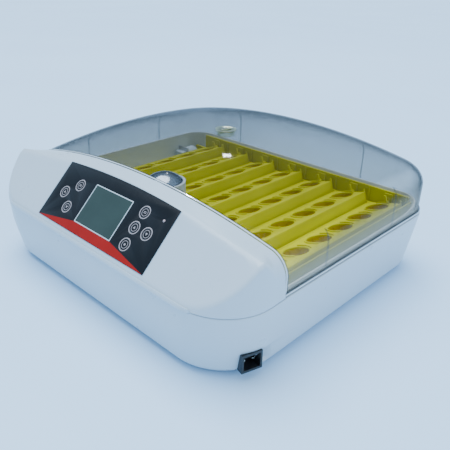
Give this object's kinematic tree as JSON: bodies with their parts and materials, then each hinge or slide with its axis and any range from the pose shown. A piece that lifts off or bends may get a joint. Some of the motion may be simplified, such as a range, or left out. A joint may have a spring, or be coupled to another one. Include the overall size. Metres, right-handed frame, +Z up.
{
  "type": "egg incubator",
  "caption": "Table-top egg incubator: tapered tub with a sloping control head, clear domed lift-off cover, and egg rows that tilt together on a motor-driven bar.",
  "frame": {"origin": "on the table, at the middle of the footprint", "axes": "+X to the right seen from the control panel, +Y to the back, +Z up"},
  "size_m": [0.46, 0.404, 0.1737],
  "materials": {
    "shell_white": "satin white moulding",
    "liner_white": "satin white moulding",
    "clear_plastic": "smoke-tinted clear",
    "vent_plastic": "clear yellowish",
    "rubber_foot": "matt",
    "steel_screw": "zinc plated",
    "label_black": "gloss film",
    "stripe_red": "printed film",
    "bezel_light": "printed line",
    "lcd_glass": "grey-green display",
    "lcd_body": "matt",
    "lens_pink": "milky lens",
    "key_film": "gloss film with a pale ring",
    "pcb_green": "solder mask",
    "part_black": "moulded",
    "copper_wound": "enamelled windings",
    "relay_blue": "moulded",
    "socket_black": "moulded",
    "pin_metal": "nickel-plated",
    "fan_white": "moulded",
    "motor_metal": "drawn can",
    "fan_dark": "moulded",
    "cap_polished": "polished dome",
    "heater_wire": "sheathed",
    "ceramic_post": "unglazed",
    "probe_steel": "sleeve",
    "tray_yellow": "translucent yellow moulding",
    "row_yellow": "translucent yellow moulding",
    "arm_white": "moulded",
    "motor_can": "drawn can",
    "bracket_steel": "zinc plated",
    "trough_white": "moulded",
    "wire_red": "insulated"
  },
  "bodies": {
    "housing": {"base_shell": "shell_white", "bottom_plate": "shell_white", "foot_front_left": "rubber_foot", "foot_front_right": "rubber_foot", "foot_rear_left": "rubber_foot", "foot_rear_right": "rubber_foot", "base_screws": "steel_screw", "chamber_tub": "liner_white", "head_shell": "shell_white", "bulkhead": "liner_white", "bulkhead_screws": "steel_screw", "panel_label": "label_black", "panel_stripe": "stripe_red", "lcd_bezel": "bezel_light", "lcd_window": "lcd_glass", "lcd_module": "lcd_body", "status_lens": "lens_pink", "control_board": "pcb_green", "board_screws": "steel_screw", "buzzer": "part_black", "power_board": "pcb_green", "power_transformer": "copper_wound", "mains_relay": "relay_blue", "inlet_socket": "socket_black", "inlet_pins": "pin_metal", "fan_housing": "fan_white", "fan_motor": "motor_metal", "fan_cap": "cap_polished", "fan_screws": "steel_screw", "heater_coil": "heater_wire", "heater_posts": "ceramic_post", "sensor_probe": "probe_steel", "sensor_clip": "fan_white", "tray_frame": "tray_yellow", "tilt_motor": "motor_can", "motor_bracket": "bracket_steel", "motor_screws": "steel_screw", "water_trough_left": "trough_white", "water_trough_right": "trough_white", "wire_harness": "wire_red"},
    "cover": {"clear_cover": "clear_plastic"},
    "vent": {"vent_plug": "vent_plastic"},
    "fan": {"fan_rotor": "fan_dark"},
    "arm": {"tilt_arm": "arm_white"},
    "bar": {"drive_bar": "tray_yellow"},
    "row_1": {"egg_row_1": "row_yellow"},
    "key_1_cap": {"key_1": "key_film"},
    "row_2": {"egg_row_2": "row_yellow"},
    "key_2_cap": {"key_2": "key_film"},
    "row_3": {"egg_row_3": "row_yellow"},
    "key_3_cap": {"key_3": "key_film"},
    "row_4": {"egg_row_4": "row_yellow"},
    "key_4_cap": {"key_4": "key_film"},
    "row_5": {"egg_row_5": "row_yellow"},
    "key_5_cap": {"key_5": "key_film"},
    "row_6": {"egg_row_6": "row_yellow"},
    "key_6_cap": {"key_6": "key_film"},
    "row_7": {"egg_row_7": "row_yellow"},
    "key_7_cap": {"key_7": "key_film"}
  },
  "joints": [
    {"name": "cover_lift", "type": "slide", "parent": "housing", "child": "cover", "axis": [0, 0, 1], "range_m": [0, 0.11]},
    {"name": "vent_turn", "type": "hinge", "parent": "cover", "child": "vent", "pos_m": [-0.01, 0.044, 0.165], "axis": [0, 0, 1], "range_deg": [0, 90]},
    {"name": "fan_spin", "type": "hinge", "parent": "housing", "child": "fan", "pos_m": [0.01, -0.084, 0.118], "axis": [0, 0, 1], "continuous": true},
    {"name": "tilt_drive", "type": "hinge", "parent": "housing", "child": "arm", "pos_m": [-0.201, 0.1634, 0.064], "axis": [0, 1, 0], "range_deg": [-15, 45]},
    {"name": "bar_pivot", "type": "hinge", "parent": "arm", "child": "bar", "pos_m": [-0.19789, 0.1684, 0.05241], "axis": [0, 1, 0], "range_deg": [-45, 15]},
    {"name": "row_1_tilt", "type": "hinge", "parent": "housing", "child": "row_1", "pos_m": [0.1805, 0.03, 0.083], "axis": [0, 1, 0], "range_deg": [-15, 45]},
    {"name": "row_2_tilt", "type": "hinge", "parent": "housing", "child": "row_2", "pos_m": [0.125, 0.03, 0.083], "axis": [0, 1, 0], "range_deg": [-15, 45]},
    {"name": "row_3_tilt", "type": "hinge", "parent": "housing", "child": "row_3", "pos_m": [0.0695, 0.03, 0.083], "axis": [0, 1, 0], "range_deg": [-15, 45]},
    {"name": "row_4_tilt", "type": "hinge", "parent": "housing", "child": "row_4", "pos_m": [0.014, 0.03, 0.083], "axis": [0, 1, 0], "range_deg": [-15, 45]},
    {"name": "row_5_tilt", "type": "hinge", "parent": "housing", "child": "row_5", "pos_m": [-0.0415, 0.03, 0.083], "axis": [0, 1, 0], "range_deg": [-15, 45]},
    {"name": "row_6_tilt", "type": "hinge", "parent": "housing", "child": "row_6", "pos_m": [-0.097, 0.03, 0.083], "axis": [0, 1, 0], "range_deg": [-15, 45]},
    {"name": "row_7_tilt", "type": "hinge", "parent": "housing", "child": "row_7", "pos_m": [-0.1525, 0.03, 0.083], "axis": [0, 1, 0], "range_deg": [-15, 45]},
    {"name": "key_1_press", "type": "slide", "parent": "housing", "child": "key_1_cap", "axis": [0, 0.7071, -0.7071], "range_m": [0, 0.0004], "stiffness_N_per_m": 600},
    {"name": "key_2_press", "type": "slide", "parent": "housing", "child": "key_2_cap", "axis": [0, 0.7071, -0.7071], "range_m": [0, 0.0004], "stiffness_N_per_m": 600},
    {"name": "key_3_press", "type": "slide", "parent": "housing", "child": "key_3_cap", "axis": [0, 0.7071, -0.7071], "range_m": [0, 0.0004], "stiffness_N_per_m": 600},
    {"name": "key_4_press", "type": "slide", "parent": "housing", "child": "key_4_cap", "axis": [0, 0.7071, -0.7071], "range_m": [0, 0.0004], "stiffness_N_per_m": 600},
    {"name": "key_5_press", "type": "slide", "parent": "housing", "child": "key_5_cap", "axis": [0, 0.7071, -0.7071], "range_m": [0, 0.0004], "stiffness_N_per_m": 600},
    {"name": "key_6_press", "type": "slide", "parent": "housing", "child": "key_6_cap", "axis": [0, 0.7071, -0.7071], "range_m": [0, 0.0004], "stiffness_N_per_m": 600},
    {"name": "key_7_press", "type": "slide", "parent": "housing", "child": "key_7_cap", "axis": [0, 0.7071, -0.7071], "range_m": [0, 0.0004], "stiffness_N_per_m": 600}
  ],
  "couplings": [
    {"joint": "bar_pivot", "follows": "tilt_drive", "ratio": -1},
    {"joint": "row_1_tilt", "follows": "tilt_drive", "ratio": 1},
    {"joint": "row_2_tilt", "follows": "tilt_drive", "ratio": 1},
    {"joint": "row_3_tilt", "follows": "tilt_drive", "ratio": 1},
    {"joint": "row_4_tilt", "follows": "tilt_drive", "ratio": 1},
    {"joint": "row_5_tilt", "follows": "tilt_drive", "ratio": 1},
    {"joint": "row_6_tilt", "follows": "tilt_drive", "ratio": 1},
    {"joint": "row_7_tilt", "follows": "tilt_drive", "ratio": 1}
  ]
}
